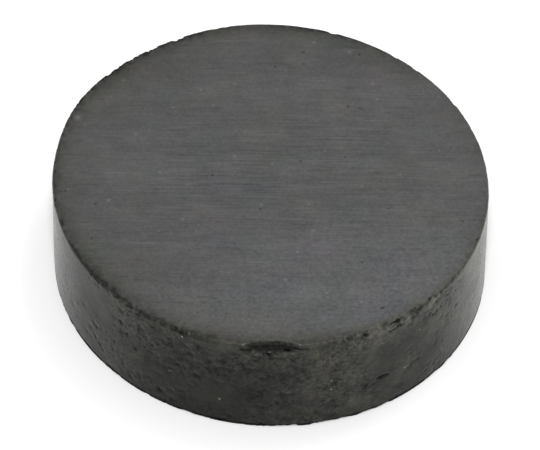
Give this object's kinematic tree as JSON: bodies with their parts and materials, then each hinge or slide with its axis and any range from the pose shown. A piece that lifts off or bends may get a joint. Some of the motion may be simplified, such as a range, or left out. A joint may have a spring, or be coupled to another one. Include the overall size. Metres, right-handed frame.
{
  "type": "disc magnet",
  "caption": "Flat round disc magnet of dark grey sintered ferrite, with ground pole faces, a rougher fired side and worn, chipped edges.",
  "frame": {"origin": "on the disc's axis, at the lower pole face", "axes": "+Z along the disc's axis, out of the upper pole face; the long flake in the upper edge lies towards -Y"},
  "size_m": [0.018, 0.018, 0.005],
  "materials": {
    "ferrite": "dark grey sintered ferrite: matt ground pole faces with fine straight grinding lines, mottled and pitted fired side, chipped edges"
  },
  "bodies": {
    "root": {"disc_magnet": "ferrite"}
  },
  "joints": []
}
